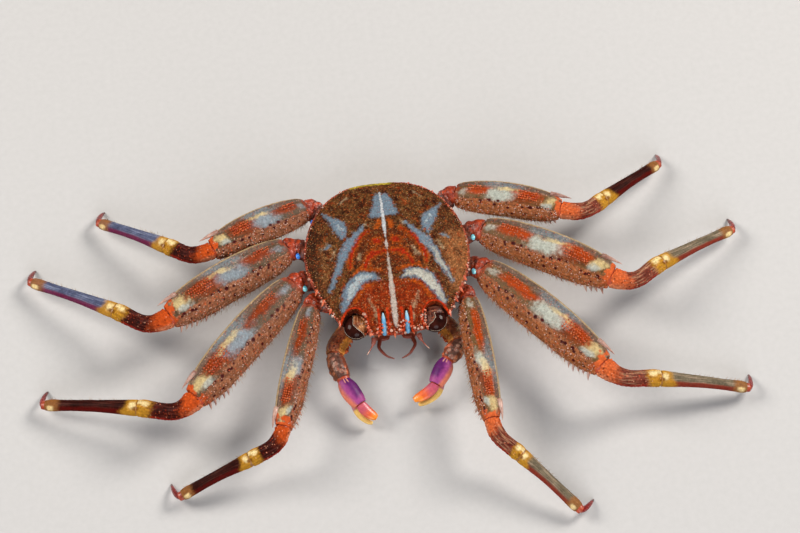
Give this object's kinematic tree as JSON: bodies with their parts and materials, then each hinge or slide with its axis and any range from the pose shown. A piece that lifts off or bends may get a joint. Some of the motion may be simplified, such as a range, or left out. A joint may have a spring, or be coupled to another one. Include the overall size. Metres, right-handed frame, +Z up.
{
  "type": "percnon gibbesi crab",
  "caption": "Life-size still model of a flat rock crab standing with its spiny legs spread and its small pincers held in front.",
  "frame": {"origin": "centre of the crab's bounding box, on the floor that its eight claws stand on", "axes": "+X towards the crab's own left, across its spread legs; the crab faces -Y; +Z up"},
  "size_m": [0.1324, 0.073, 0.0118],
  "materials": {
    "shell": "granular red-brown shell with pale blue bands, low sheen",
    "leg_shell": "smooth translucent shell, orange-brown with pale patches and red speckles",
    "leg_band": "fine-lined purple-brown shell with yellow bands at both ends",
    "claw_tip": "dark crimson horn, glossy",
    "pincer_purple": "violet shell with pink and cream edges, glossy",
    "pincer_orange": "pink to orange shell, glossy",
    "belly": "pale pinkish shell plates, satin",
    "eye": "wet dark brown cornea",
    "feeler_blue": "sky-blue translucent blade",
    "feeler_red": "reddish jointed feeler, satin"
  },
  "bodies": {
    "root": {"carapace": "shell", "thorax": "belly", "abdomen": "belly", "eye_left": "eye", "eye_right": "eye", "antennule_left": "feeler_blue", "antennule_right": "feeler_blue", "antenna_left": "feeler_red", "antenna_right": "feeler_red", "maxilliped_left": "belly", "maxilliped_right": "belly", "pincer_left_arm": "leg_shell", "pincer_left_wrist": "leg_shell", "pincer_left_palm": "pincer_purple", "pincer_left_finger": "pincer_orange", "pincer_right_arm": "leg_shell", "pincer_right_wrist": "leg_shell", "pincer_right_palm": "pincer_purple", "pincer_right_finger": "pincer_orange", "leg_left_1_base": "leg_shell", "leg_left_1_merus": "leg_shell", "leg_left_1_carpus": "leg_shell", "leg_left_1_propodus": "leg_band", "leg_left_1_dactylus": "claw_tip", "leg_left_2_base": "leg_shell", "leg_left_2_merus": "leg_shell", "leg_left_2_carpus": "leg_shell", "leg_left_2_propodus": "leg_band", "leg_left_2_dactylus": "claw_tip", "leg_left_3_base": "leg_shell", "leg_left_3_merus": "leg_shell", "leg_left_3_carpus": "leg_shell", "leg_left_3_propodus": "leg_band", "leg_left_3_dactylus": "claw_tip", "leg_left_4_base": "leg_shell", "leg_left_4_merus": "leg_shell", "leg_left_4_carpus": "leg_shell", "leg_left_4_propodus": "leg_band", "leg_left_4_dactylus": "claw_tip", "leg_right_1_base": "leg_shell", "leg_right_1_merus": "leg_shell", "leg_right_1_carpus": "leg_shell", "leg_right_1_propodus": "leg_band", "leg_right_1_dactylus": "claw_tip", "leg_right_2_base": "leg_shell", "leg_right_2_merus": "leg_shell", "leg_right_2_carpus": "leg_shell", "leg_right_2_propodus": "leg_band", "leg_right_2_dactylus": "claw_tip", "leg_right_3_base": "leg_shell", "leg_right_3_merus": "leg_shell", "leg_right_3_carpus": "leg_shell", "leg_right_3_propodus": "leg_band", "leg_right_3_dactylus": "claw_tip", "leg_right_4_base": "leg_shell", "leg_right_4_merus": "leg_shell", "leg_right_4_carpus": "leg_shell", "leg_right_4_propodus": "leg_band", "leg_right_4_dactylus": "claw_tip"}
  },
  "joints": []
}
